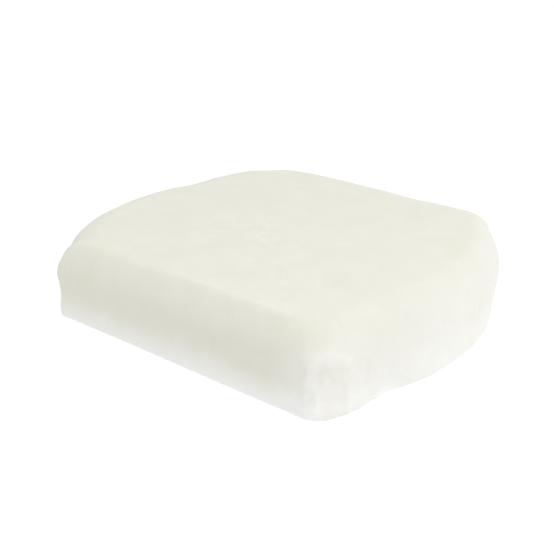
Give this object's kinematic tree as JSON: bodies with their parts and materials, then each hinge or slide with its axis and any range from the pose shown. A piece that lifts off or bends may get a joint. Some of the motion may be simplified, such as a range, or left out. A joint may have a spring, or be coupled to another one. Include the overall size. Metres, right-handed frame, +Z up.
{
  "type": "gymnastics chalk block",
  "caption": "Bare, hand-worn cake of pressed magnesium carbonate chalk with flat front and back sides, bulged ends and a rounded crown, rested on its flat underside.",
  "frame": {"origin": "middle of the flat underside, below the middle of the block", "axes": "+Z up through the block's thickness; -Y out of the flat front side; +X out of the right bulged end"},
  "size_m": [0.104, 0.09, 0.0205],
  "materials": {
    "chalk": "matte, powdery"
  },
  "bodies": {
    "root": {"chalk_block": "chalk"}
  },
  "joints": []
}
